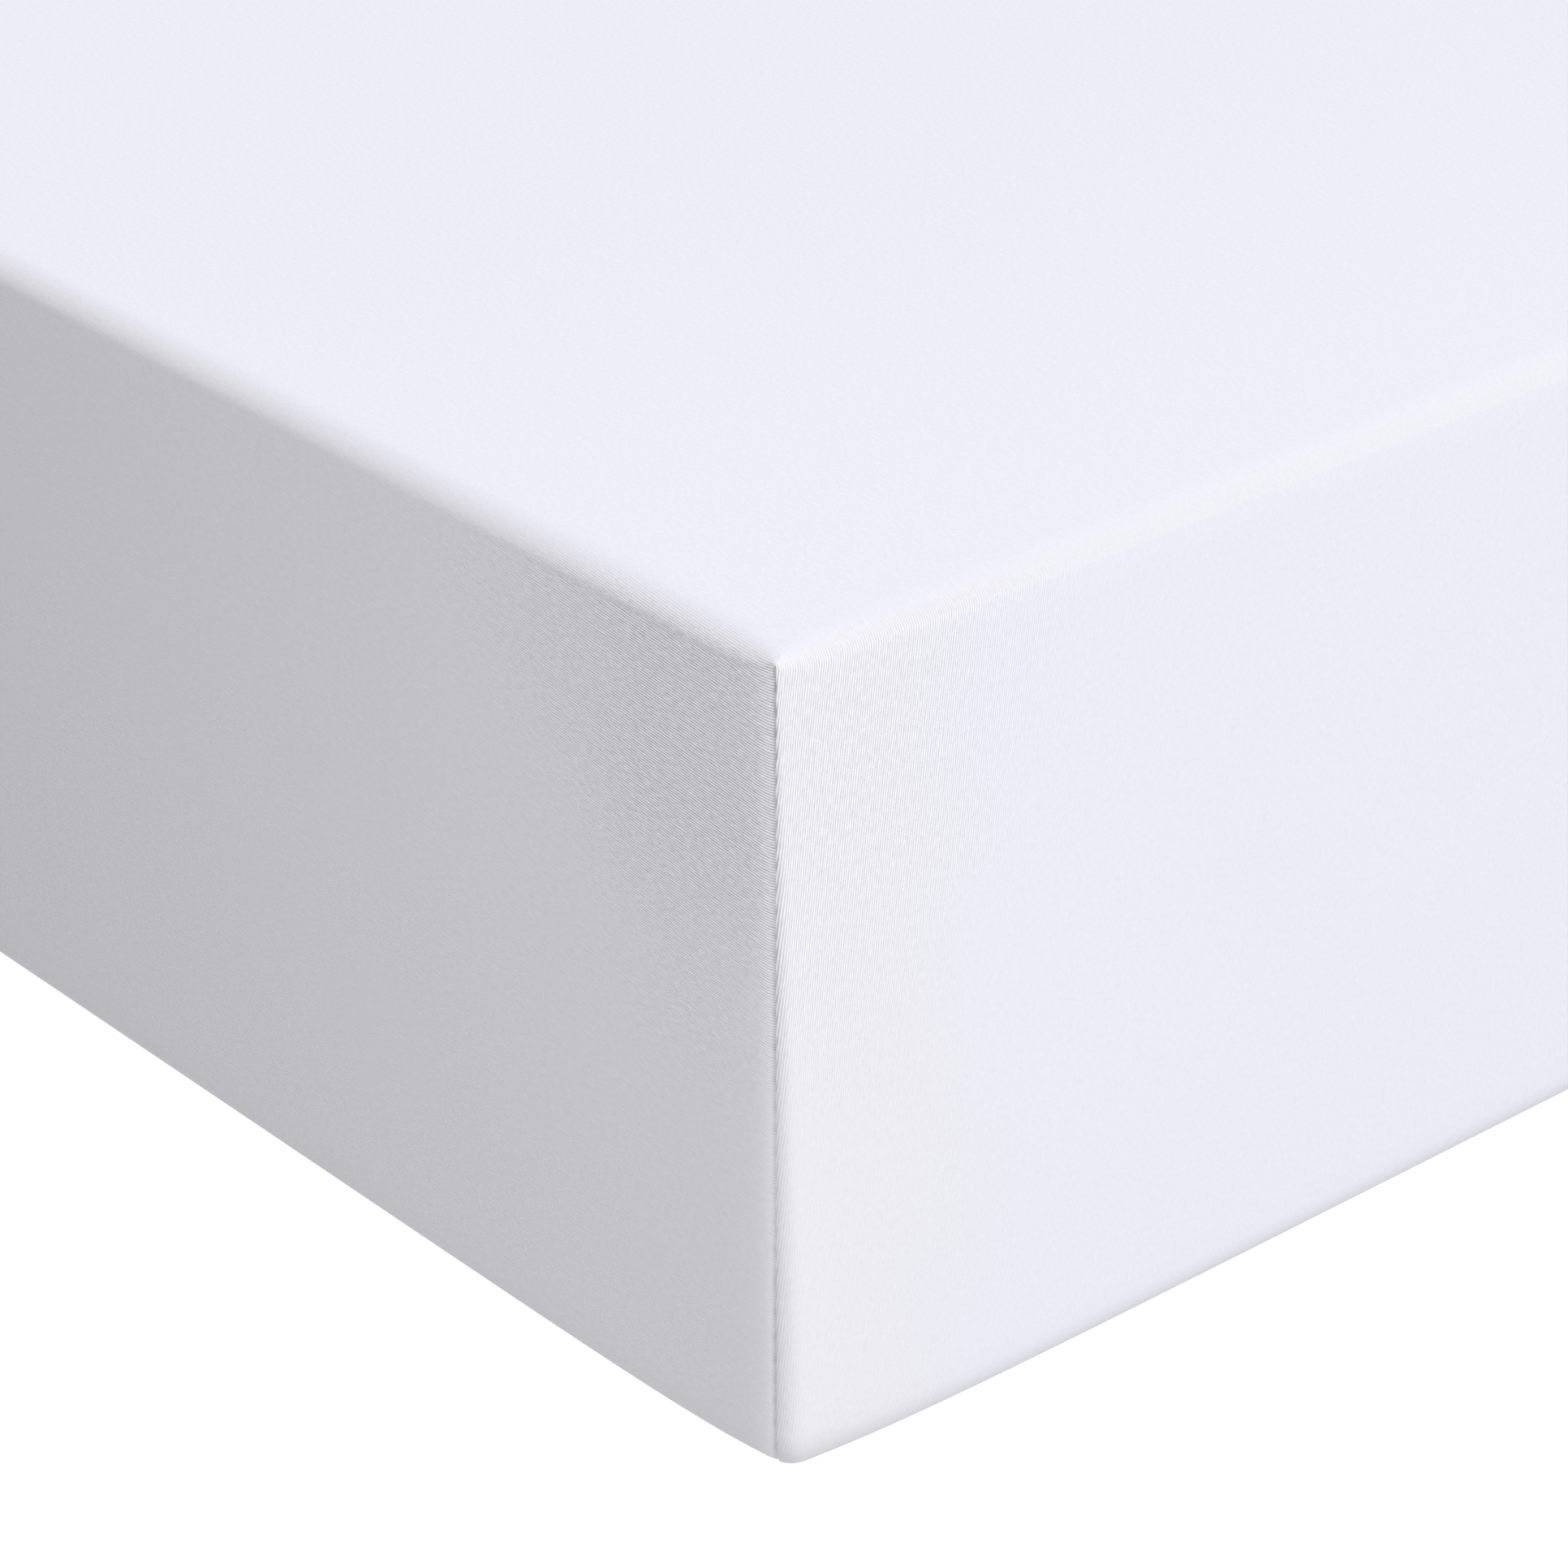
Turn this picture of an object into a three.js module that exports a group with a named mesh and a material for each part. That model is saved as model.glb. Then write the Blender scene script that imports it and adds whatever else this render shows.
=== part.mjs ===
// Fitted sheet on a mattress, in millimetres, +Z up.
// X runs along the bed, Y across it. The origin is at the middle of the footprint, on the plane it rests on.
import * as THREE from "three";

// The mattress.
const LENGTH = 2000;
const WIDTH = 900;
const DEPTH = 200;
const BASE = 3.5; // height of its underside, which leaves room for the hem under it
const TOP_EDGE = 10; // radius of its top edges
const CORNER = 12; // plan radius of its upright corners
const FULLER = 6; // how much rounder its bottom edges are than the cloth over them

// The cloth, one piece with a seam down each corner.
const CLOTH = 1.2;
const GAP = 0.3; // from the mattress, on top and at the nearest places of the walls
const SLACK = 0.5; // how far the walls stand off it elsewhere
const SEAM_DIP = 0.8; // how deep the seam is drawn in

// Its top edges are quarter ovals: how far in from the wall they start, and how far down they end.
const EDGE_IN = 9;
const EDGE_DOWN = 4.8;
const EDGE_IN_CORNER = 2; // sharper at the corners
const EDGE_DOWN_CORNER = 2.2;
const EDGE_REACH = 6; // over what length they grow sharper

// Outer plan radius of the upright corners: nearly sharp above, rounder towards the foot.
const UPRIGHT = 2.8;
const UPRIGHT_FOOT = 8;

// Where the cloth turns under the mattress.
const ROLL = 10.6; // outer radius along the walls
const ROLL_CORNER = 16.6; // outer radius at the corners, where the elastic lifts it
const LONG_REACH = 24; // over what length that dies away along a long wall
const END_REACH = 30; // and along an end wall
const UNDER = 16; // how much a corner's plan radius grows on its way under

// The turned-under border and its hem, a channel folded round the elastic.
const BORDER = 110;
const HEM_WIDE = 10;
const HEM_THICK = 3.2;
const HEM_CORNER = 130; // plan radius of the hem at the corners
const GATHER = 1.5; // height of the gathers at the corners

const TOP = BASE + DEPTH + GAP + CLOTH;
const SIDE = GAP + SLACK + CLOTH;
const HALF = { x: LENGTH / 2 + SIDE, y: WIDTH / 2 + SIDE };

// Corner columns: degrees round the corner from the long wall, share of the seam's dip, share of the gathers.
// The seam lies close to the long wall.
const CORNER_COLUMNS = [
  [0, 0, 0],
  [12, 0, 0.7],
  [25, 1, 0],
  [38, 0, 0.9],
  [52, 0, 0],
  [68, 0, 0.9],
  [90, 0, 0],
];
// Columns along a wall: distance from the corner, up to the middle of the wall.
const LONG_COLUMNS = [3, 9, 20, 40, 75, 140, 260, 410, 570, 730, 880];
const END_COLUMNS = [3, 11, 27, 52, 95, 165, 265, 370];

// Degrees from the flat at which a rounded edge is cut.
const STEPS = [0, 22.5, 45, 67.5, 90];
// Heights of the cuts between the two rounded edges of a wall, as shares.
const WALL_CUTS = [0.25, 0.5, 0.75];
// Cuts between the roll and the hem, as shares.
const BORDER_CUTS = [0.12, 0.4, 0.75];
// The hem's section: distance in from its outer line and height.
const HEM_SECTION = [
  [HEM_WIDE - 0.9, 0],
  [HEM_WIDE, 0.9],
  [HEM_WIDE, HEM_THICK - 0.9],
  [HEM_WIDE - 0.9, HEM_THICK],
  [0.8, HEM_THICK],
  [-0.6, CLOTH],
];

const radians = (degrees) => (degrees * Math.PI) / 180;
const mix = (from, to, share) => from + (to - from) * share;

// The same columns where the corner's arc ends at a long wall instead of starting from one.
const MIRRORED_COLUMNS = CORNER_COLUMNS.map(([degrees, ...rest]) => [90 - degrees, ...rest]).reverse();

// The upright columns of the net, anticlockwise from the +X end of the +Y corner.
function netColumns() {
  const columns = [];
  for (let quarter = 0; quarter < 4; quarter += 1) {
    const long = quarter % 2 === 0;
    for (const [degrees, seam, gather] of long ? MIRRORED_COLUMNS : CORNER_COLUMNS) {
      columns.push({ quarter, turn: radians(quarter * 90 + degrees), share: 0, away: 0, long, seam, gather });
    }
    const run = 2 * (long ? HALF.x : HALF.y) - 2 * UPRIGHT;
    const near = long ? LONG_COLUMNS : END_COLUMNS;
    const far = near.map((distance) => run - distance).reverse();
    for (const distance of [...near, ...far]) {
      columns.push({
        quarter,
        turn: radians(quarter * 90 + 90),
        share: distance / run,
        away: Math.min(distance, run - distance),
        long,
        seam: 0,
        gather: 0,
      });
    }
  }
  return columns;
}

const COLUMNS = netColumns();

// A point of a rounded rectangle: half sizes and corner radius, then moved in along its normal.
function place(column, half, radius, inset, height) {
  const at = (quarter) => [
    (quarter === 0 || quarter === 3 ? 1 : -1) * (half.x - radius),
    (quarter < 2 ? 1 : -1) * (half.y - radius),
  ];
  const [ax, ay] = at(column.quarter);
  const [bx, by] = at((column.quarter + 1) % 4);
  const reach = radius - inset;
  return [
    mix(ax, bx, column.share) + reach * Math.cos(column.turn),
    mix(ay, by, column.share) + reach * Math.sin(column.turn),
    height,
  ];
}

// How far in and how far down the top edge reaches at a column.
function edgeAt(column) {
  const sharper = Math.exp(-column.away / EDGE_REACH);
  return {
    inward: mix(EDGE_IN, EDGE_IN_CORNER, sharper),
    down: mix(EDGE_DOWN, EDGE_DOWN_CORNER, sharper),
  };
}

// Outer radius of the roll under the mattress at a column.
function rollAt(column) {
  const reach = column.long ? LONG_REACH : END_REACH;
  return ROLL + (ROLL_CORNER - ROLL) * Math.exp(-column.away / reach);
}

// How far a wall is drawn in between its stand-off places.
function slackAt(column, share) {
  const waves = column.long ? 5 : 3;
  const along = 0.5 - 0.5 * Math.cos(2 * Math.PI * waves * column.share);
  return SLACK * along * Math.sin(Math.PI * share) ** 2;
}

// One face of the cloth, from its flat top down and under: depth is 0 outside and CLOTH inside.
function clothFace(depth) {
  const rings = [];
  for (const step of STEPS) {
    const turn = radians(step);
    rings.push(COLUMNS.map((column) => {
      const { inward, down } = edgeAt(column);
      return place(
        column,
        HALF,
        UPRIGHT,
        depth + (inward - depth) * (1 - Math.sin(turn)) + SEAM_DIP * column.seam * Math.sin(turn),
        TOP - depth - (down - depth) * (1 - Math.cos(turn)),
      );
    }));
  }
  for (const share of WALL_CUTS) {
    rings.push(COLUMNS.map((column) => place(
      column,
      HALF,
      mix(UPRIGHT, UPRIGHT_FOOT, share ** 2),
      depth + slackAt(column, share) + SEAM_DIP * column.seam,
      mix(TOP - edgeAt(column).down, rollAt(column), share),
    )));
  }
  for (const step of STEPS) {
    const turn = radians(step);
    rings.push(COLUMNS.map((column) => {
      const roll = rollAt(column);
      const radius = roll - depth;
      return place(
        column,
        HALF,
        UPRIGHT_FOOT + UNDER * (1 - Math.cos(turn)),
        depth + radius * (1 - Math.cos(turn)) + SEAM_DIP * column.seam * Math.cos(turn),
        depth + radius * (1 - Math.sin(turn)),
      );
    }));
  }
  for (const share of BORDER_CUTS) {
    rings.push(COLUMNS.map((column) => place(
      column,
      HALF,
      mix(UPRIGHT_FOOT + UNDER, HEM_CORNER + BORDER, share),
      mix(rollAt(column), BORDER - HEM_WIDE, share),
      depth + GATHER * column.gather * Math.sin(Math.PI * share),
    )));
  }
  return rings;
}

function clothRings() {
  const hem = HEM_SECTION.map(([inward, height]) => COLUMNS.map((column) => place(
    column,
    HALF,
    HEM_CORNER + BORDER,
    BORDER - HEM_WIDE + inward,
    height,
  )));
  return [...clothFace(0), ...hem, ...clothFace(CLOTH).reverse()];
}

function mattressRings() {
  const half = { x: LENGTH / 2, y: WIDTH / 2 };
  const rings = [];
  for (const step of STEPS) {
    const turn = radians(step);
    rings.push(COLUMNS.map((column) => place(
      column,
      half,
      CORNER,
      TOP_EDGE * (1 - Math.sin(turn)),
      BASE + DEPTH - TOP_EDGE * (1 - Math.cos(turn)),
    )));
  }
  for (const step of STEPS) {
    const turn = radians(step);
    rings.push(COLUMNS.map((column) => {
      const radius = rollAt(column) + FULLER;
      return place(
        column,
        half,
        CORNER + (UNDER + FULLER) * (1 - Math.cos(turn)),
        radius * (1 - Math.cos(turn)),
        BASE + radius * (1 - Math.sin(turn)),
      );
    }));
  }
  return rings;
}

// Skins the rings in order and closes the first and the last with flat fans.
function skin(rings, name, material) {
  const count = COLUMNS.length;
  const positions = rings.flat(2);
  const index = [];
  for (let ring = 0; ring + 1 < rings.length; ring += 1) {
    for (let column = 0; column < count; column += 1) {
      const next = (column + 1) % count;
      const a = ring * count + column;
      const b = ring * count + next;
      const c = a + count;
      const d = b + count;
      index.push(a, c, d, a, d, b);
    }
  }
  const close = (ring, flip) => {
    const middle = positions.length / 3;
    positions.push(0, 0, rings[ring][0][2]);
    for (let column = 0; column < count; column += 1) {
      const a = ring * count + column;
      const b = ring * count + ((column + 1) % count);
      index.push(middle, flip ? b : a, flip ? a : b);
    }
  };
  close(0, false);
  close(rings.length - 1, true);
  const geometry = new THREE.BufferGeometry();
  geometry.setAttribute("position", new THREE.Float32BufferAttribute(positions, 3));
  geometry.setIndex(index);
  geometry.computeVertexNormals();
  const mesh = new THREE.Mesh(geometry, material);
  mesh.name = name;
  return mesh;
}

const jersey = new THREE.MeshStandardMaterial({ color: 0xf1f1f4, roughness: 0.95, metalness: 0 });
const ticking = new THREE.MeshStandardMaterial({ color: 0xe4e0d6, roughness: 0.9, metalness: 0 });

const group = new THREE.Group();
group.name = "fitted_sheet_on_mattress";
group.add(skin(clothRings(), "fitted_sheet", jersey));
group.add(skin(mattressRings(), "mattress", ticking));

export default group;
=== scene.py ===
"""A white jersey fitted sheet stretched over a mattress. Metres, +X along the bed, +Y across it, +Z up."""

import math

import bpy
import numpy as np
from mathutils import Matrix, Vector, noise


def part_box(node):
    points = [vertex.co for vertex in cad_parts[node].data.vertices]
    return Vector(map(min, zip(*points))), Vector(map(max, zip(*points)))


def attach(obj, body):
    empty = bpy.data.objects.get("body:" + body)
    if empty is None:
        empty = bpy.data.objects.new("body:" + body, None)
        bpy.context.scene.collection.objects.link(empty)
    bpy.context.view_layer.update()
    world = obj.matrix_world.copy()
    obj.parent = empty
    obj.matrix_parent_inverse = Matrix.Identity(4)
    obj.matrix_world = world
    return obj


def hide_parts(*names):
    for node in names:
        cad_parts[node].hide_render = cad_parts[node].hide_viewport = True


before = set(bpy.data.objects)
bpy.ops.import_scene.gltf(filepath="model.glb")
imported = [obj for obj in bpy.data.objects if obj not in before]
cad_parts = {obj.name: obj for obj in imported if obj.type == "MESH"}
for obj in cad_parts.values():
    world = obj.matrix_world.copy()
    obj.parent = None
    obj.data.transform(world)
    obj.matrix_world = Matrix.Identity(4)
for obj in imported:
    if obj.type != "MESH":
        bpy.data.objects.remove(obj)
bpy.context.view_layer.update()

# ---- Sizes -----------------------------------------------------------------

MM = 0.001
_, SHEET_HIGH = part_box("fitted_sheet")
BED_LOW, BED_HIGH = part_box("mattress")
HALF = (SHEET_HIGH[0], SHEET_HIGH[1])
TOP = SHEET_HIGH[2]

# The cloth. Its upright corners are a little sharper than the part's.
CLOTH = 1.2 * MM
SLACK = 0.5 * MM  # how far the walls are drawn in between the places where they stand off the mattress
DRIFT, DRIFT_WAVE = 0.22 * MM, 60 * MM  # their unevenness, coarse and fine, and its wavelengths
DRIFT_FINE, DRIFT_FINE_WAVE = 0.1 * MM, 26 * MM
DRIFT_IN = 0.2 * MM  # how far in the uneven cloth lies on average
DRIFT_REACH = 8 * MM  # over what length all this dies away towards a corner
EDGE_IN = 9 * MM  # how far in from the wall a top edge starts, and how far down it ends
EDGE_DOWN = 4.8 * MM
EDGE_IN_CORNER = 1 * MM
EDGE_DOWN_CORNER = 1.6 * MM
EDGE_REACH = 8 * MM
EDGE_SPARED = 1 * MM  # how much shorter the cloth's way over a top edge is than over a square one
UPRIGHT = 1.3 * MM  # outer plan radius of the upright corners
UPRIGHT_FOOT = 5.5 * MM
UPRIGHT_MIDDLE = 3 * MM  # about halfway down
UPRIGHT_INSIDE = 1.6 * MM  # how much rounder they are inside
ROLL = 10.6 * MM  # outer radius where the walls turn under
ROLL_CORNER = 16.6 * MM
LONG_REACH = 24 * MM  # over what length that dies away along a long wall, and along an end wall
END_REACH = 30 * MM
UNDER = 16 * MM  # how much a corner's plan radius grows on its way under
BORDER = 110 * MM
HEM_WIDE = 10 * MM
HEM_THICK = 3.2 * MM
HEM_CORNER = 130 * MM

# The mattress, as in the part's source.
BED_TOP_EDGE = 10 * MM
BED_CORNER = 12 * MM
BED_FULLER = 6 * MM

# A corner seam lies this far round the corner from the long wall. Towards the end wall it ends in a fold. Towards
# the long wall the cloth sinks to it more gently, deepest near the top.
SEAM_TURN = 14.0  # degrees
SEAM_DEEP = 0.5 * MM  # depth of the furrow
SEAM_SHARP = 0.3 * MM  # its width on the fold's side, and on the gentler side
SEAM_GENTLE = 0.75 * MM
SINK, SINK_TOP = 0.3 * MM, 1.05 * MM  # how deep the cloth sinks to it, and how much more so at the top
SINK_WIDE, SINK_WIDE_TOP = 3 * MM, 3 * MM  # from how far away, and from how much further at the top
SINK_SHARP = 1.2 * MM  # and from how far away on the fold's side
SINK_REACH = 110 * MM  # how fast it dies away down the seam
SINK_INSIDE, SINK_INSIDE_WIDE = 1.2 * MM, 3 * MM  # the same for the plainer inner face
STITCH = 6.5 * MM  # from one tight stitch to the next
STITCH_WAVE, FURROW_WAVE = 9.1 * MM, 13 * MM  # unevenness of the stitches and of the furrow
PALE, PALE_REACH = 0.5, 4 * MM  # how much paler the cloth is painted on the gentler side, a painted light, and how far out
DARK, DARK_TOP, DARK_TOP_REACH = 0.32, 0.68, 25 * MM  # how dark the furrow's painted shade is, how much more so at the top
DARK_FOOT, DARK_FOOT_REACH = 0.3, 40 * MM  # and at the foot

# Places round the sheet run from 0 to 4: each quarter starts with its corner's arc and ends with a wall. Even
# quarters end with a long wall, odd ones with an end wall.
ARC = 0.2


# ---- The net round the sheet -----------------------------------------------


def smooth(low, high, value):
    """0 below low, 1 above high, and a smooth step between."""
    x = np.clip((np.asarray(value, float) - low) / (high - low), 0, 1)
    return x * x * (3 - 2 * x)


def run_of(quarter):
    """Length of the wall that ends a quarter, between its corner arcs."""
    return np.where(quarter % 2 == 0, 2 * HALF[0], 2 * HALF[1]) - 2 * UPRIGHT


def around(places):
    """Splits places into quarter, turn of the outward normal, share along the wall and distance from its nearer
    corner arc."""
    places = np.asarray(places, float)
    quarter = np.floor(places).astype(int)
    part = places - quarter
    quarter = quarter % 4
    turn = np.radians(90 * (quarter + np.minimum(part / ARC, 1)))
    share = np.clip((part - ARC) / (1 - ARC), 0, 1)
    away = np.minimum(share, 1 - share) * run_of(quarter)
    return quarter, turn, share, away


def corner_of(quarter, half, radius):
    """Centre of a corner's arc."""
    quarter = quarter % 4
    x = np.where((quarter == 0) | (quarter == 3), 1, -1) * (half[0] - radius)
    y = np.where(quarter < 2, 1, -1) * (half[1] - radius)
    return x, y


def place(places, half, radius, inset, height):
    """Points of a rounded rectangle, moved in along their normals by inset."""
    quarter, turn, share, _ = around(places)
    ax, ay = corner_of(quarter, half, radius)
    bx, by = corner_of(quarter + 1, half, radius)
    reach = radius - inset
    x = ax + (bx - ax) * share + reach * np.cos(turn)
    y = ay + (by - ay) * share + reach * np.sin(turn)
    return np.stack(np.broadcast_arrays(x, y, height), -1)


def roll_at(places):
    """Outer radius of the roll under the mattress: larger towards the corners, where the elastic lifts the cloth."""
    quarter, _, _, away = around(places)
    reach = np.where(quarter % 2 == 0, LONG_REACH, END_REACH)
    return ROLL + (ROLL_CORNER - ROLL) * np.exp(-away / reach)


def seam_part(quarter):
    """Where the seam lies in a quarter, as a share of its corner's arc."""
    return np.where(quarter % 2 == 0, 1 - SEAM_TURN / 90, SEAM_TURN / 90)


def upright_at(height):
    """Outer plan radius of the upright corners at a height."""
    return UPRIGHT + (UPRIGHT_FOOT - UPRIGHT) * np.clip((TOP - height) / (TOP - ROLL_CORNER), 0, 1)


def across_seam(places, radius):
    """Distance round a corner of that radius from its seam: above 0 towards the end wall, below 0 towards the
    long wall."""
    quarter, turn, _, away = around(places)
    on_arc = (np.degrees(turn) / 90 - quarter - seam_part(quarter)) * radius * math.pi / 2
    part = np.asarray(places, float) % 1
    to_end_wall = np.where(quarter % 2 == 1, 1, -1)
    turned = np.radians(np.where(quarter % 2 == 1, 90 - SEAM_TURN, SEAM_TURN))
    return np.where(part <= ARC, on_arc, away + radius * turned) * to_end_wall


def wobble(points, size, seed):
    """Smooth noise from -1 to 1 at points, with that wavelength."""
    shift = Vector((seed, 2.3 * seed, 1.7 * seed))
    return np.array([noise.noise(Vector(p) / size + shift) for p in points])


def wall_drift(points):
    """The walls' unevenness at points."""
    return wobble(points, DRIFT_WAVE, 3.1) * DRIFT + wobble(points, DRIFT_FINE_WAVE, 8.4) * DRIFT_FINE


def seam_depth(places, height):
    """How deep the cloth is drawn in at a corner seam, and how much painted shade each point gets in its furrow,
    from
    0 to 1. Below 0 it gets painted light instead: beside the seam the cloth is painted paler."""
    off = across_seam(places, upright_at(height))
    quarter = np.floor(np.asarray(places, float))
    below = np.maximum(TOP - height, 0)
    beat = height / STITCH + 0.3 * np.sin(height / STITCH_WAVE + quarter) + 0.2 * quarter
    pull = 0.65 + 0.35 * (0.5 + 0.5 * np.sin(2 * math.pi * beat)) ** 4
    uneven = 1 + 0.25 * np.sin(height / FURROW_WAVE + 1.7 * quarter)
    furrow = pull * uneven * np.exp(-((off / np.where(off > 0, SEAM_SHARP, SEAM_GENTLE)) ** 2))
    high_up = np.exp(-below / SINK_REACH)
    wide = np.where(off > 0, SINK_SHARP, SINK_WIDE + SINK_WIDE_TOP * high_up)
    sink = (SINK + SINK_TOP * high_up) * np.maximum(1 - np.abs(off) / wide, 0) ** 2
    # Painted shade down in the furrow, stronger at the top and at the foot.
    shade = DARK + DARK_TOP * np.exp(-below / DARK_TOP_REACH)
    shade = shade + DARK_FOOT * np.exp(-np.maximum(height, 0) / DARK_FOOT_REACH)
    # Painted light: on the long wall's side of the seam the cloth is painted paler.
    pale = PALE * np.exp(-np.abs(off) / PALE_REACH) * (off < 0)
    return SEAM_DEEP * furrow + sink, np.clip(furrow * shade, 0, 1) - pale * (1 - np.minimum(furrow, 1))


def seam_way(places):
    """Direction in plan out of the nearest corner seam."""
    places = np.asarray(places, float)
    quarter = np.floor(places) + (places % 1 > (1 + ARC) / 2)
    turn = np.radians(90) * (quarter + seam_part(quarter % 4))
    return np.stack([np.cos(turn), np.sin(turn)], -1)


# Stations down a column: how far it has gone over the top edge, down the wall, round the roll and along the border.
RIM_INSET = 16 * MM  # how far in from the wall the columns start on the flat top
SKIRT = 14 * MM  # flat stretch of the border that the columns take in
RIM_END, EDGE_END, WALL_END, ROLL_END, COLUMN_END = 1.0, 2.0, 3.0, 4.0, 5.0


def oval_length(wide, high):
    """Length of a quarter oval, nearly."""
    return math.pi / 2 * np.sqrt((wide**2 + high**2) / 2)


# How far over the top's edge the foot of the roll lies on the flat cloth.
FOOT_OVER = TOP - ROLL - EDGE_SPARED + oval_length(ROLL, ROLL)


def column_points(one_place, stations, depth):
    """Points of the cloth's face at one place, from the top's rim to the border, how far over the edge of the top
    they lie on the flat cloth, and how much painted shade or painted light a seam gives them. depth is 0 outside."""
    stations = np.asarray(stations, float)
    places = np.full(len(stations), one_place)
    quarter, _, along, away = around(places)
    roll = roll_at(places)
    sharper = np.exp(-away / EDGE_REACH) * (depth == 0)
    inward = EDGE_IN + (EDGE_IN_CORNER - EDGE_IN) * sharper
    down = EDGE_DOWN + (EDGE_DOWN_CORNER - EDGE_DOWN) * sharper
    on_rim, on_edge, on_wall, on_roll, on_skirt = (np.clip(stations - k, 0, 1) for k in range(5))
    edge_turn = on_edge * math.pi / 2
    roll_turn = on_roll * math.pi / 2
    before = (RIM_INSET - inward) * (1 - on_rim)
    rim_radius = (RIM_INSET + 1.5 * MM - UPRIGHT) * (1 - on_rim)
    wall_top = TOP - down
    skirt_share = SKIRT / (BORDER - HEM_WIDE - roll) * on_skirt

    height = TOP - depth - (down - depth) * (1 - np.cos(edge_turn))
    height = np.where(on_edge >= 1, wall_top + (roll - wall_top) * on_wall, height)
    height = np.where(on_wall >= 1, depth + (roll - depth) * (1 - np.sin(roll_turn)), height)
    inset = before + depth + (inward - depth) * (1 - np.sin(edge_turn))
    inset = inset + (roll - depth) * (1 - np.cos(roll_turn)) + on_skirt * SKIRT
    radius = UPRIGHT + rim_radius + (UPRIGHT_FOOT - UPRIGHT) * on_wall + UNDER * (1 - np.cos(roll_turn))
    radius = radius + skirt_share * (HEM_CORNER + BORDER - UPRIGHT_FOOT - UNDER)
    radius = radius + (UPRIGHT_INSIDE if depth else 0)

    waves = np.where(quarter % 2 == 0, 5, 3)
    slack = SLACK * (0.5 - 0.5 * np.cos(2 * math.pi * waves * along)) * np.sin(math.pi * on_wall) ** 2
    inset = inset + slack
    drawn = smooth(0.35, 1.0, on_edge) * np.cos(roll_turn) ** 0.5
    if depth == 0:
        drift = wall_drift(place(places, HALF, radius, inset, height)) + DRIFT_IN
        inset = inset + drift * np.sin(math.pi * on_wall) ** 0.5 * np.minimum(away / DRIFT_REACH, 1)
        sunk, seam_painted_shading = (part * drawn for part in seam_depth(places, height))
    else:
        sunk = SINK_INSIDE * np.exp(-((across_seam(places, radius) / SINK_INSIDE_WIDE) ** 2)) * drawn
        seam_painted_shading = np.zeros(len(stations))
    points = place(places, HALF, radius, inset, height)
    points[:, :2] -= sunk[:, None] * seam_way(places)
    over = -inward - before + (inward + down - EDGE_SPARED) * on_edge + (wall_top - roll) * on_wall
    over = over + oval_length(roll, roll) * on_roll + on_skirt * SKIRT
    return points, over, seam_painted_shading


def place_by_seam(quarter, off):
    """The place at a signed distance anticlockwise from a quarter's seam, round its corner or along its walls."""
    arc = UPRIGHT_MIDDLE * math.pi / 2
    part = float(seam_part(quarter))
    if off > (1 - part) * arc:
        return quarter + ARC + (1 - ARC) * (off - (1 - part) * arc) / float(run_of(quarter))
    if off < -part * arc:
        return quarter + (1 - ARC) * (off + part * arc) / float(run_of(quarter - 1))
    return quarter + ARC * (part + off / arc)


# Distances of the outer face's columns from a seam, in mm, and their pitch along the rest of a wall.
FINE_STEPS = [0.15, 0.3, 0.45, 0.65, 0.9, 1.2, 1.55, 1.95, 2.4, 2.9, 3.5, 4.2, 5.0, 6.0, 7.1]
WIDE_STEPS = [8.5, 10.5, 13, 16.5, 21, 27, 34, 43, 53, 65, 80]
COLUMN_PITCH = 13 * MM


def outer_places():
    """Places of the outer face's columns and, for each, how finely it is cut."""
    found = []
    for quarter in range(4):
        for step in FINE_STEPS + WIDE_STEPS:
            fineness = 2 if step < 3 else 1 if step < 8 else 0
            found += [(place_by_seam(quarter, sign * step * MM) % 4, fineness) for sign in (-1, 1)]
        found.append((place_by_seam(quarter, 0.0), 2))
        start = place_by_seam(quarter, WIDE_STEPS[-1] * MM)
        end = place_by_seam(quarter + 1, -WIDE_STEPS[-1] * MM)
        steps = int(round((end - start) / (1 - ARC) * float(run_of(quarter)) / COLUMN_PITCH))
        found += [(start + (end - start) * k / steps, 0) for k in range(1, steps)]
    found.sort()
    return np.array([one for one, _ in found]), [fineness for _, fineness in found]


def stations_of(fineness):
    """Stations of a column: close together by a seam, for its stitches, and wide apart elsewhere."""
    rows = (25, 80, 240)[fineness]
    turns = (8, 8, 16)[fineness]
    rim = np.linspace(0, RIM_END, 3)
    edge = np.linspace(RIM_END, EDGE_END, turns + 1)[1:]
    wall = np.linspace(EDGE_END, WALL_END, rows + 1)[1:]
    roll = np.linspace(WALL_END, ROLL_END, turns + 1)[1:]
    skirt = np.linspace(ROLL_END, COLUMN_END, 4)[1:]
    return np.concatenate([rim, edge, wall, roll, skirt])


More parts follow.
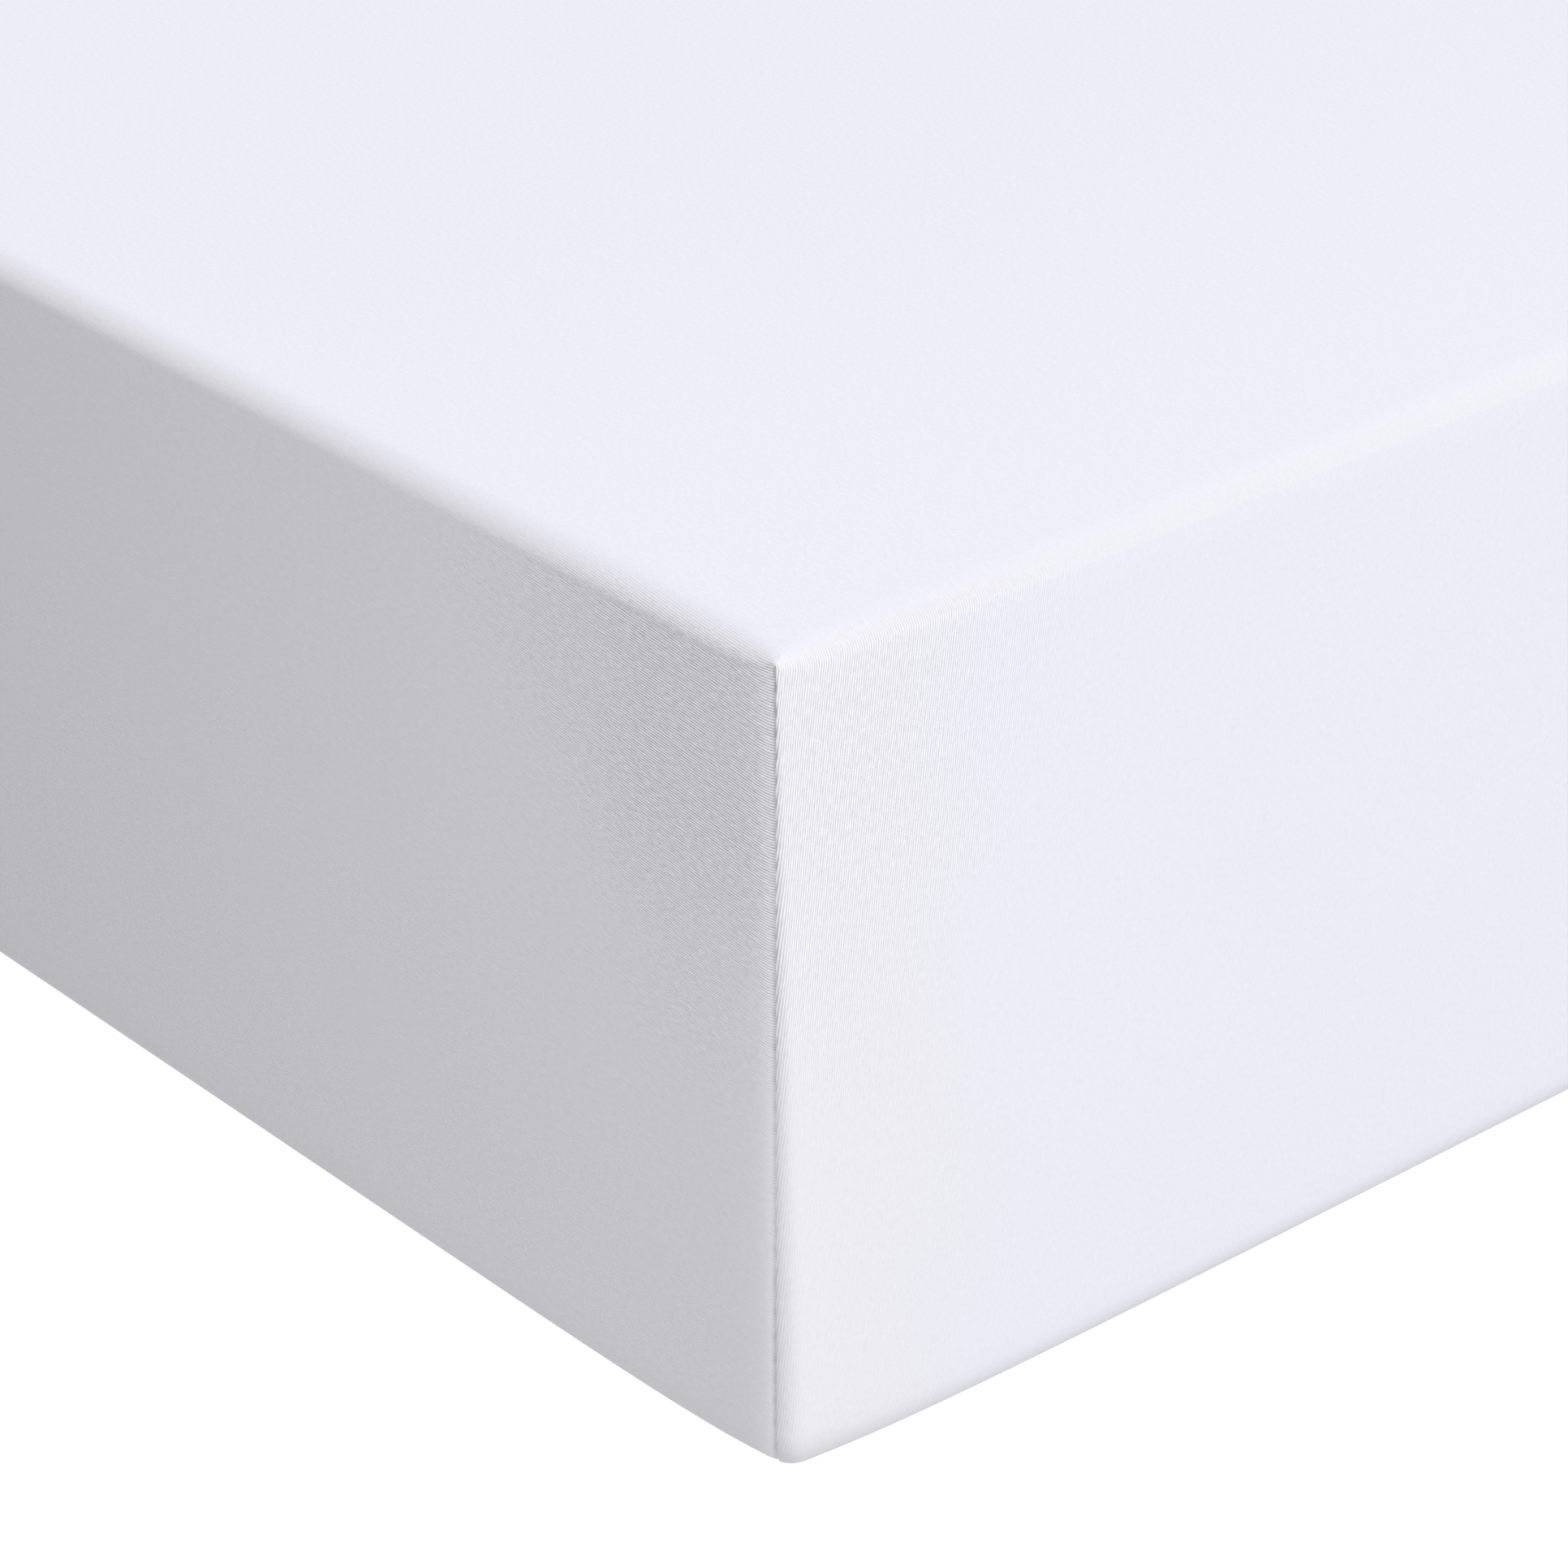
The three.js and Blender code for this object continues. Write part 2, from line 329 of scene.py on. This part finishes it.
class Net:
    """Points and faces of a mesh, with each point's place round the sheet, how far over the top's edge it lies and
    how much painted shade or painted light a corner seam gives it."""

    def __init__(self):
        self.points = []
        self.places = []
        self.overs = []
        self.seam_painted_shadings = []
        self.faces = []

    def add(self, points, places, overs, seam_painted_shadings=0.0):
        first = len(self.points)
        count = len(points)
        self.points.extend(points)
        self.places.extend(np.broadcast_to(places, count))
        self.overs.extend(np.broadcast_to(overs, count))
        self.seam_painted_shadings.extend(np.broadcast_to(seam_painted_shadings, count))
        return list(range(first, first + count))

    def zip(self, one, other, one_keys, other_keys, flip=False):
        """Joins two lines of points by their keys, with a four-sided face wherever both lines step together."""
        i = j = 0
        while i + 1 < len(one) or j + 1 < len(other):
            step_one = one_keys[i + 1] if i + 1 < len(one) else math.inf
            step_other = other_keys[j + 1] if j + 1 < len(other) else math.inf
            if abs(step_one - step_other) < 1e-7:
                face = [one[i], one[i + 1], other[j + 1], other[j]]
                i += 1
                j += 1
            elif step_one < step_other:
                face = [one[i], one[i + 1], other[j]]
                i += 1
            else:
                face = [one[i], other[j + 1], other[j]]
                j += 1
            self.faces.append(face[::-1] if flip else face)

    def zip_rings(self, one, other, one_places, other_places):
        """Joins a ring to the next one down the cloth."""
        self.zip(
            one + one[:1],
            other + other[:1],
            list(one_places) + [one_places[0] + 4],
            list(other_places) + [other_places[0] + 4],
            flip=True,
        )


def ring_places(pitch, arc_steps):
    """Evenly spaced places round the sheet."""
    places = []
    for quarter in range(4):
        run = float(run_of(quarter))
        steps = int(round(run / pitch / 2)) * 2
        places += [quarter + ARC * k / arc_steps for k in range(arc_steps)]
        places += [quarter + ARC + (1 - ARC) * k / steps for k in range(steps)]
    return np.array(places)


def border_points(places, share, height):
    """Points of the border under the mattress: share is 0 at the roll and 1 at the hem."""
    roll = roll_at(places)
    radius = UPRIGHT_FOOT + UNDER + (HEM_CORNER + BORDER - UPRIGHT_FOOT - UNDER) * share
    return place(places, HALF, radius, roll + (BORDER - HEM_WIDE - roll) * share, height)


def sheet_net():
    net = Net()
    # Outer face: columns from the top's rim down the wall and under.
    places, fine = outer_places()
    columns = []
    for one_place, fineness in zip(places, fine):
        stations = stations_of(fineness)
        points, over, seam_painted_shading = column_points(one_place, stations, 0)
        columns.append((net.add(points, one_place, over, seam_painted_shading), stations))
    for k, (column, stations) in enumerate(columns):
        following, following_stations = columns[(k + 1) % len(columns)]
        net.zip(column, following, stations, following_stations)
    rim = [column[0] for column, _ in columns]
    foot = [column[-1] for column, _ in columns]

    # Outer face: the top, in rings that close on a middle strip.
    top_places = ring_places(26 * MM, 2)
    ring, before = rim, places
    for inset in TOP_INSETS:
        points = place(top_places, HALF, inset + 1.5 * MM, inset, TOP)
        points[:, 2] += top_rise(points)
        inner = net.add(points, top_places, -inset)
        net.zip_rings(inner, ring, top_places, before)
        ring, before = inner, top_places
    net.faces.append(ring)

    # Outer face: the border under the mattress, drawn into gathers, and its hem.
    hem_places = ring_places(6 * MM, 28)
    ring, before = foot, places
    first_share = SKIRT / (BORDER - HEM_WIDE - roll_at(hem_places))
    for step in np.linspace(0, 1, 9)[1:]:
        share = first_share + (1 - first_share) * step
        points = border_points(hem_places, share, gather_height(hem_places, share))
        outer = net.add(points, hem_places, FOOT_OVER + (BORDER - HEM_WIDE - ROLL) * share)
        net.zip_rings(ring, outer, before, hem_places)
        ring, before = outer, hem_places
    for inward, height in HEM_SECTION:
        points = place(hem_places, HALF, HEM_CORNER + BORDER, BORDER - HEM_WIDE + inward, height)
        outer = net.add(points, hem_places, FOOT_OVER + BORDER - ROLL + inward)
        net.zip_rings(ring, outer, before, hem_places)
        ring = outer

    # Inner face, plainer, from the hem back up to the top.
    inner_places = ring_places(60 * MM, 6)
    before = hem_places
    for share in (0.85, 0.6, 0.35):
        height = CLOTH + gather_height(inner_places, share) * 0.5 + 0.5 * MM
        points = border_points(inner_places, share, height)
        inner = net.add(points, inner_places, FOOT_OVER + (BORDER - HEM_WIDE - ROLL) * share)
        net.zip_rings(ring, inner, before, inner_places)
        ring, before = inner, inner_places
    stations = np.concatenate([[COLUMN_END], np.linspace(ROLL_END, RIM_END, 16), [0.0]])
    rows = [column_points(p, stations, CLOTH) for p in inner_places]
    for k in range(len(stations)):
        inner = net.add([row[0][k] for row in rows], inner_places, [row[1][k] for row in rows])
        net.zip_rings(ring, inner, before, inner_places)
        ring = inner
    net.faces.append(ring[::-1])
    return net


# How far in from the wall the rings of the flat top lie.
TOP_INSETS = [22 * MM, 34 * MM, 52 * MM, 78 * MM] + [(78 + 29 * k) * MM for k in range(1, 13)]
RISE, RISE_WAVE = 0.35 * MM, 150 * MM  # the top's unevenness and its wavelength
# The hem's section: distance in from its outer line and height.
HEM_SECTION = [
    (HEM_WIDE - 0.9 * MM, 0.0),
    (HEM_WIDE - 0.25 * MM, 0.3 * MM),
    (HEM_WIDE, 0.9 * MM),
    (HEM_WIDE, HEM_THICK - 0.9 * MM),
    (HEM_WIDE - 0.25 * MM, HEM_THICK - 0.3 * MM),
    (HEM_WIDE - 0.9 * MM, HEM_THICK),
    (0.8 * MM, HEM_THICK),
    (-0.6 * MM, CLOTH + 0.5 * MM),
]


def top_rise(points):
    """The top's faint unevenness, none at its rim."""
    inside = np.minimum(HALF[0] - np.abs(points[:, 0]), HALF[1] - np.abs(points[:, 1]))
    return wobble(points, RISE_WAVE, 5.2) * RISE * smooth(20 * MM, 120 * MM, inside)


GATHER = 21 * MM  # from one gather to the next
GATHER_DEEP, GATHER_CORNER, GATHER_REACH = 0.9, 0.8, 140 * MM  # height in mm, how much more at a corner, how far


def gather_height(places, share):
    """Height of the gathers in the border: none at the roll, deeper at the corners."""
    quarter, _, along, away = around(places)
    length = along * run_of(quarter)
    beat = length / GATHER + 0.4 * np.sin(length / (67 * MM)) + 0.3 * np.sin(length / (29 * MM) + quarter)
    part = places - np.floor(places)
    beat = np.where(part < ARC, 7 * part / ARC, beat)
    depth = (GATHER_DEEP + GATHER_CORNER * np.exp(-away / GATHER_REACH)) * MM
    return depth * (0.5 - 0.5 * np.cos(2 * math.pi * beat)) * smooth(0.15, 0.8, share)


# ---- Meshes ----------------------------------------------------------------


def cloth_map(places, overs, points, before_seam):
    """Where points lie on the flat cloth, in metres. At a corner's seam the cloth of the wall before it ends."""
    quarter, turn, _, _ = around(places)
    part = places % 1
    wall = np.where((part < ARC) & before_seam, quarter, quarter + 1) % 4
    # Round the corner's arc the cloth goes on past where its wall ends.
    arc = (turn - np.radians(90) * wall + math.pi) % (2 * math.pi) - math.pi
    over_edge = np.clip(1 + overs / EDGE_IN, 0, 1)
    past = np.where(part < ARC, (arc - np.sin(arc)) * upright_at(points[:, 2]), 0) * over_edge
    past = past * np.array([1, -1, -1, 1])[wall]
    long_wall = wall % 2 == 1
    x = np.where(long_wall, points[:, 0] + past, np.sign(points[:, 0]) * (HALF[0] + overs))
    y = np.where(long_wall, np.sign(points[:, 1]) * (HALF[1] + overs), points[:, 1] + past)
    flat = overs < -EDGE_IN
    return np.where(flat, points[:, 0], x), np.where(flat, points[:, 1], y)


def mesh_of(name, points, faces):
    mesh = bpy.data.meshes.new(name)
    mesh.from_pydata([tuple(p) for p in points], [], faces)
    mesh.validate()
    mesh.shade_smooth()
    piece = bpy.data.objects.new(name, mesh)
    bpy.context.collection.objects.link(piece)
    return piece


def map_cloth(piece, net):
    """Lays the cloth's own flat coordinates on the piece, split at the corner seams."""
    mesh = piece.data
    places = np.array(net.places)
    vertex_of = np.empty(len(mesh.loops), int)
    mesh.loops.foreach_get("vertex_index", vertex_of)
    before_seam = np.empty(len(mesh.loops), bool)
    for face in mesh.polygons:
        loops = slice(face.loop_start, face.loop_start + face.loop_total)
        own = places[vertex_of[loops]]
        own = np.where(own < own.max() - 2, own + 4, own)
        middle = own.mean() % 4
        before_seam[loops] = middle % 1 < ARC * float(seam_part(int(middle)))
    x, y = cloth_map(places[vertex_of], np.array(net.overs)[vertex_of], np.array(net.points)[vertex_of], before_seam)
    # The seams' painted shade and painted light, handed to the material.
    seam_painted_shading_layer = mesh.attributes.new(name="furrow", type="FLOAT", domain="POINT")
    seam_painted_shading_layer.data.foreach_set("value", np.array(net.seam_painted_shadings, float))
    layer = mesh.uv_layers.new(name="cloth")
    layer.data.foreach_set("uv", np.stack([x, y], -1).ravel())


def bed_net():
    """The mattress: rounded edges all round, a little rounder at the foot."""
    net = Net()
    half = (BED_HIGH[0], BED_HIGH[1])
    low, high = BED_LOW[2], BED_HIGH[2]
    places = ring_places(50 * MM, 8)
    roll = roll_at(places) + BED_FULLER
    rings = []
    for step in np.linspace(0, math.pi / 2, 7):
        inset = BED_TOP_EDGE * (1 - math.sin(step))
        height = high - BED_TOP_EDGE * (1 - math.cos(step))
        rings.append(place(places, half, BED_CORNER, inset, height))
    for step in np.linspace(0, math.pi / 2, 7):
        radius = BED_CORNER + (UNDER + BED_FULLER) * (1 - math.cos(step))
        rings.append(place(places, half, radius, roll * (1 - math.cos(step)), low + roll * (1 - math.sin(step))))
    before = None
    for k, points in enumerate(rings):
        ring = net.add(points, places, float(k))
        if before:
            net.zip_rings(before, ring, places, places)
        else:
            net.faces.append(ring)
        before = ring
    net.faces.append(before[::-1])
    return net


# ---- Materials -------------------------------------------------------------


class Nodes:
    """Short names for building a node tree."""

    def __init__(self, tree):
        self.tree = tree

    def add(self, kind, **settings):
        node = self.tree.nodes.new(kind)
        for key, value in settings.items():
            setattr(node, key, value)
        return node

    def link(self, source, target):
        self.tree.links.new(source, target)

    def math(self, operation, *values, clamp=False):
        node = self.add("ShaderNodeMath", operation=operation, use_clamp=clamp)
        for socket, value in zip(node.inputs, values):
            if isinstance(value, (int, float)):
                socket.default_value = value
            else:
                self.link(value, socket)
        return node.outputs[0]

    def about(self, value, size):
        """A value from 0 to 1, moved to lie from -size to size."""
        return self.math("MULTIPLY_ADD", value, 2 * size, -size)

    def wave(self, value, pitch):
        """A sine from 0 to 1."""
        turn = self.math("MULTIPLY", value, 2 * math.pi / pitch)
        return self.math("MULTIPLY_ADD", self.math("SINE", turn), 0.5, 0.5)

    def span(self, value, start, end, low, high):
        """A smooth step from low at start to high at end."""
        node = self.add("ShaderNodeMapRange", interpolation_type="SMOOTHSTEP")
        for name, number in (("From Min", start), ("From Max", end), ("To Min", low), ("To Max", high)):
            node.inputs[name].default_value = number
        self.link(value, node.inputs["Value"])
        return node.outputs["Result"]

    def split(self, vector):
        node = self.add("ShaderNodeSeparateXYZ")
        self.link(vector, node.inputs[0])
        return node.outputs["X"], node.outputs["Y"], node.outputs["Z"]

    def noise(self, vector, scale, detail=2.0, roughness=0.5):
        node = self.add("ShaderNodeTexNoise")
        node.inputs["Scale"].default_value = scale
        node.inputs["Detail"].default_value = detail
        node.inputs["Roughness"].default_value = roughness
        self.link(vector, node.inputs["Vector"])
        return node.outputs["Fac"]

    def mapped(self, vector, rotation=0.0, scale=(1, 1, 1)):
        node = self.add("ShaderNodeMapping")
        node.inputs["Rotation"].default_value = (0, 0, rotation)
        node.inputs["Scale"].default_value = scale
        self.link(vector, node.inputs["Vector"])
        return node.outputs["Vector"]

    def mix(self, share, first, second, blend="MIX"):
        node = self.add("ShaderNodeMix", data_type="RGBA", blend_type=blend)
        colours = [socket for socket in node.inputs if socket.type == "RGBA"]
        for socket, value in zip([node.inputs["Factor"], *colours], (share, first, second)):
            if isinstance(value, tuple):
                socket.default_value = (*value, 1)
            elif isinstance(value, (int, float)):
                socket.default_value = value
            else:
                self.link(value, socket)
        return next(socket for socket in node.outputs if socket.type == "RGBA")


WALE = 0.64 * MM  # one column of knit loops
COURSE = 0.55 * MM  # one row of them
GRAIN_TURN = math.radians(7.5)  # the knit lies a little askew
RIBS_TOP = 0.12  # how clearly the ribs' relief and painted shade show on the top, and on the end walls, beside 1 on the long walls, set by how the light falls across the ribs on each side
RIBS_END = 0.5
RIBS_FAR = 0.25  # and far from the corners, beside 1 near them
RIBS_FADE = (40 * MM, 125 * MM)  # from what distance to what distance from a top corner they fade
RIBS_END_FADE = (20 * MM, 100 * MM)  # and, on the end walls, from an upright corner
COOL_FADE = (25 * MM, 80 * MM)  # where the cooler white sets in, from an upright corner
RIB_SHADE = 0.64  # how much darker their valleys are painted than their ridges: painted shade between the loops
SLUB = 0.45  # how uneven they are
FUZZ_SHADE, FUZZ_RELIEF = 0.04, 0.85  # how much the fuzz shows in the colour and in the relief
RELIEF = 0.12 * MM
FURROW_SHADE = 0.4  # how much darker the cloth is painted down in a seam, a painted shade; the same factor paints it paler beside one
EDGE_SHADE = 0.045  # how much darker it is painted where it turns over the end walls' edges: painted shade that tones down the light there
# Two whites for the cloth; on the top the cooler one is a painted tint of bluer light.
COOL_WHITE = (0.82, 0.827, 0.915)
PLAIN_WHITE = (0.833, 0.826, 0.878)


def new_material(name):
    material = bpy.data.materials.new(name)
    material.use_nodes = True
    tree = material.node_tree
    shader = tree.nodes["Principled BSDF"]
    return material, Nodes(tree), shader


def corner_distance(nodes, scale=(1, 1, 1)):
    """Distance from the sheet's nearest top corner, or from its upright corner if the scale leaves height out."""
    spot = nodes.add("ShaderNodeTexCoord").outputs["Object"]
    folded = nodes.add("ShaderNodeVectorMath", operation="ABSOLUTE")
    nodes.link(spot, folded.inputs[0])
    away = nodes.add("ShaderNodeVectorMath", operation="DISTANCE")
    nodes.link(nodes.mapped(folded.outputs[0], scale=scale), away.inputs[0])
    away.inputs[1].default_value = (*HALF, TOP * scale[2])
    return away.outputs["Value"]


def rib_relief_and_shade_weight(nodes, facing, aside, patch):
    """How strongly the ribs show, in relief and in painted shade: most on the long walls, as the light falls across
    them there, and near the corners.
    """
    x, y = (nodes.math("MULTIPLY", part, part) for part in facing[:2])
    patches = nodes.about(patch, 0.03)
    on_end = nodes.span(nodes.math("ADD", aside, patches), *RIBS_END_FADE, RIBS_END - RIBS_TOP, 0.1)
    by_side = nodes.math("MULTIPLY_ADD", y, 1 - RIBS_TOP, RIBS_TOP)
    by_side = nodes.math("ADD", nodes.math("MULTIPLY", x, on_end), by_side)
    by_corner = nodes.span(nodes.math("ADD", corner_distance(nodes), patches), *RIBS_FADE, 1.0, RIBS_FAR)
    return nodes.math("MULTIPLY", by_side, by_corner)


def coolness(nodes, facing, aside, patch):
    """Where the cloth is painted the cooler of two whites: on the top, as painted light standing in for a bluer
    light from above, and on the walls away from the corners.
    """
    _, sideways, upward = facing
    away = nodes.math("ADD", aside, nodes.about(patch, 0.04))
    cool = nodes.math("MULTIPLY", nodes.span(away, *COOL_FADE, 0.0, 1.0), nodes.span(upward, 0.05, 0.35, 1.0, 0.2))
    on_long = nodes.span(nodes.math("ABSOLUTE", sideways), 0.5, 0.9, 1.0, 0.35)
    cool = nodes.math("MULTIPLY", cool, on_long)
    return nodes.math("MAXIMUM", cool, nodes.span(upward, 0.9, 1.0, 0.0, 1.0))


def jersey():
    """Single jersey: ribs of knit loops with painted shade in their valleys, clearest where the corners draw it
    tight, with a short fuzz over them.
    """
    material, nodes, shader = new_material("white_jersey")
    flat = nodes.add("ShaderNodeUVMap", uv_map="cloth").outputs["UV"]
    turned = nodes.mapped(flat, rotation=GRAIN_TURN)
    along, across, _ = nodes.split(turned)
    waver = nodes.noise(nodes.mapped(turned, scale=(90, 500, 1)), 1.0)
    rib = nodes.wave(nodes.math("ADD", across, nodes.about(waver, 0.3 * WALE)), WALE)
    loop = nodes.wave(along, COURSE)
    fuzz = nodes.noise(turned, 700.0, detail=3.0, roughness=0.6)
    slub = nodes.noise(nodes.mapped(turned, scale=(420, 1500, 1)), 1.0, detail=3.0)
    patch = nodes.noise(turned, 22.0, detail=4.0)
    facing = nodes.split(nodes.add("ShaderNodeTexCoord").outputs["Normal"])
    aside = corner_distance(nodes, scale=(1, 1, 0))
    clear = rib_relief_and_shade_weight(nodes, facing, aside, patch)

    valley = nodes.math("SUBTRACT", 0.5, rib)
    pit = nodes.math("MULTIPLY", valley, nodes.math("MULTIPLY_ADD", loop, 0.8, 0.6))
    depth = nodes.math("MULTIPLY", nodes.math("ADD", pit, nodes.about(slub, SLUB)), clear)
    # The ribs' valleys and the loops' pits are painted darker: painted shade between the loops.
    light = nodes.math("MULTIPLY_ADD", depth, -RIB_SHADE, 1.0)
    light = nodes.math("ADD", light, nodes.about(fuzz, FUZZ_SHADE))
    # Painted shade down in the seams, and painted light beside them where the attribute is below 0.
    furrow = nodes.add("ShaderNodeAttribute", attribute_name="furrow").outputs["Fac"]
    light = nodes.math("MULTIPLY", light, nodes.math("MULTIPLY_ADD", furrow, -FURROW_SHADE, 1.0))
    # Painted shade on the end walls' edges, top and bottom, strongest where the surface faces halfway between wall
    # and up or down.
    edge_painted_shade = nodes.math("MULTIPLY", facing[0], facing[2])
    edge_painted_shade = nodes.math("MULTIPLY", edge_painted_shade, edge_painted_shade)
    light = nodes.math("MULTIPLY", light, nodes.math("MULTIPLY_ADD", edge_painted_shade, -4 * EDGE_SHADE, 1.0))
    # Painted light: the cooler white on the top stands in for a bluer light from above.
    colour = nodes.mix(coolness(nodes, facing, aside, patch), PLAIN_WHITE, COOL_WHITE)
    scaled = nodes.add("ShaderNodeVectorMath", operation="SCALE")
    nodes.link(colour, scaled.inputs[0])
    nodes.link(light, scaled.inputs["Scale"])
    nodes.link(scaled.outputs[0], shader.inputs["Base Color"])
    shader.inputs["Roughness"].default_value = 0.92
    shader.inputs["Specular IOR Level"].default_value = 0.2
    shader.inputs["Sheen Weight"].default_value = 0.08
    shader.inputs["Sheen Roughness"].default_value = 0.5

    height = nodes.math("MULTIPLY_ADD", depth, -1.0, nodes.math("MULTIPLY", fuzz, FUZZ_RELIEF))
    bump = nodes.add("ShaderNodeBump")
    bump.inputs["Strength"].default_value = 1.0
    bump.inputs["Distance"].default_value = RELIEF
    nodes.link(height, bump.inputs["Height"])
    nodes.link(bump.outputs["Normal"], shader.inputs["Normal"])
    return material


DARK_TICKING = (0.66, 0.63, 0.56)
PALE_TICKING = (0.78, 0.755, 0.69)


def ticking():
    """Plain woven mattress cover."""
    material, nodes, shader = new_material("plain_ticking")
    spot = nodes.add("ShaderNodeTexCoord").outputs["Object"]
    threads = []
    for direction in ("X", "Y"):
        thread = nodes.add("ShaderNodeTexWave", bands_direction=direction)
        thread.inputs["Scale"].default_value = 700
        thread.inputs["Distortion"].default_value = 1.2
        nodes.link(spot, thread.inputs["Vector"])
        threads.append(thread.outputs["Fac"])
    weave = nodes.math("MULTIPLY", *threads)
    fleck = nodes.noise(spot, 90.0, detail=4.0)
    shade = nodes.math("MULTIPLY", nodes.math("ADD", weave, fleck), 0.5, clamp=True)
    colour = nodes.mix(shade, DARK_TICKING, PALE_TICKING)
    nodes.link(colour, shader.inputs["Base Color"])
    shader.inputs["Roughness"].default_value = 0.85
    bump = nodes.add("ShaderNodeBump")
    bump.inputs["Strength"].default_value = 0.4
    bump.inputs["Distance"].default_value = 0.2 * MM
    nodes.link(weave, bump.inputs["Height"])
    nodes.link(bump.outputs["Normal"], shader.inputs["Normal"])
    return material


# ---- The object ------------------------------------------------------------


def make_bed():
    net = bed_net()
    piece = mesh_of("mattress_body", net.points, net.faces)
    piece.data.materials.append(ticking())
    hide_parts("mattress")
    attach(piece, "root")
    return piece


def make_sheet():
    net = sheet_net()
    piece = mesh_of("jersey_sheet", net.points, net.faces)
    map_cloth(piece, net)
    piece.data.materials.append(jersey())
    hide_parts("fitted_sheet")
    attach(piece, "root")
    return piece


# ---- Camera, floor and light -----------------------------------------------

FRAME_PX = 1932  # the view is square
FOCAL_PX = 6462.9
CORNER_PX = (955.2, 820.9)  # where the sheet's near top corner lies in the view
CORNER_AWAY = 1.0539
VIEW_TURN = math.radians(49.97)
VIEW_DOWN = math.radians(27.58)
VIEW_ROLL = math.radians(0.74)


def add_camera():
    forward = Vector((
        -math.sin(VIEW_TURN) * math.cos(VIEW_DOWN),
        math.cos(VIEW_TURN) * math.cos(VIEW_DOWN),
        -math.sin(VIEW_DOWN),
    ))
    level = Vector((math.cos(VIEW_TURN), math.sin(VIEW_TURN), 0))
    below = forward.cross(level)
    right = level * math.cos(VIEW_ROLL) + below * math.sin(VIEW_ROLL)
    down = below * math.cos(VIEW_ROLL) - level * math.sin(VIEW_ROLL)
    corner = Vector((HALF[0], -HALF[1], TOP))
    aside = (CORNER_PX[0] - FRAME_PX / 2) / FOCAL_PX
    under = (CORNER_PX[1] - FRAME_PX / 2) / FOCAL_PX
    spot = corner - CORNER_AWAY * (forward + aside * right + under * down)
    data = bpy.data.cameras.new("camera")
    data.sensor_width = 36
    data.lens = 36 * FOCAL_PX / FRAME_PX
    data.clip_start = 0.01
    camera = bpy.data.objects.new("camera", data)
    turn = Matrix((right, -down, -forward)).transposed().to_4x4()
    camera.matrix_world = Matrix.Translation(spot) @ turn
    bpy.context.collection.objects.link(camera)
    bpy.context.scene.camera = camera


FLOOR_SIZE = 8.0  # from the middle to an edge
FLOOR_WHITE = 0.35
FLOOR_GLOW = 0.85


def add_floor():
    corners = [(x * FLOOR_SIZE, y * FLOOR_SIZE, 0) for x, y in ((-1, -1), (1, -1), (1, 1), (-1, 1))]
    mesh = bpy.data.meshes.new("floor")
    mesh.from_pydata(corners, [], [(0, 1, 2, 3)])
    floor = bpy.data.objects.new("floor", mesh)
    bpy.context.collection.objects.link(floor)
    material, _, shader = new_material("pale_floor")
    shader.inputs["Base Color"].default_value = (FLOOR_WHITE, FLOOR_WHITE, FLOOR_WHITE, 1)
    shader.inputs["Roughness"].default_value = 1.0
    shader.inputs["Specular IOR Level"].default_value = 0.0
    shader.inputs["Emission Color"].default_value = (1, 1, 1, 1)
    shader.inputs["Emission Strength"].default_value = FLOOR_GLOW
    mesh.materials.append(material)
    # The cloth doesn't take its light from the floor but from the studio below the horizon.
    floor.visible_diffuse = False


# The studio round the bed: its light from above and from below the horizon, and the part of each that the side of
# the long wall lacks.
SKY, SKY_FACING = 0.25, 1.035
LOW, LOW_FACING = 0.474, 0.16
# Soft lights near the corner: place, aim, power and colour.
CARD_SIZE = 0.5
CARDS = [
    ("left_card", (1.15, -1.0, 0.15), (0.95, -0.45, 0.10), 1.06, (1.0, 0.99, 0.97)),
    ("right_card", (2.2, 0.0, 0.40), (1.0, -0.1, 0.12), 3.35, (1.0, 1.0, 1.0)),
]


def lobe(nodes, direction, towards, start, full):
    """How far a direction of the sky lies within a soft round patch."""
    facing = nodes.add("ShaderNodeVectorMath", operation="DOT_PRODUCT")
    facing.inputs[1].default_value = Vector(towards).normalized()
    nodes.link(direction, facing.inputs[0])
    return nodes.span(facing.outputs["Value"], start, full, 0.0, 1.0)


def add_light():
    scene = bpy.context.scene
    scene.view_settings.view_transform = "Standard"
    scene.view_settings.look = "None"
    world = bpy.data.worlds.new("studio")
    scene.world = world
    world.use_nodes = True
    nodes = Nodes(world.node_tree)
    background = world.node_tree.nodes["Background"]
    direction = nodes.add("ShaderNodeTexCoord").outputs["Generated"]
    facing = nodes.math("SUBTRACT", 1.0, lobe(nodes, direction, (0.0, -1.0, 0.0), -0.1, 0.8))
    upper = nodes.math("MULTIPLY_ADD", facing, SKY_FACING, SKY)
    lower = nodes.math("MULTIPLY_ADD", facing, LOW_FACING, LOW)
    height = nodes.split(direction)[2]
    level = nodes.add("ShaderNodeMix", data_type="FLOAT")
    nodes.link(nodes.math("GREATER_THAN", height, 0.0), level.inputs["Factor"])
    nodes.link(lower, level.inputs["A"])
    nodes.link(upper, level.inputs["B"])
    nodes.link(level.outputs["Result"], background.inputs["Strength"])
    background.inputs["Color"].default_value = (1, 1, 1, 1)
    for card in CARDS:
        add_card(*card)


def add_card(name, spot, aim, power, colour):
    data = bpy.data.lights.new(name, "AREA")
    data.size = CARD_SIZE
    data.energy = power
    data.color = colour
    card = bpy.data.objects.new(name, data)
    card.visible_camera = False
    bpy.context.collection.objects.link(card)
    way = Vector(aim) - Vector(spot)
    card.matrix_world = Matrix.Translation(spot) @ way.to_track_quat("-Z", "Y").to_matrix().to_4x4()


add_camera()
bed = make_bed()
make_sheet()
add_floor()
add_light()
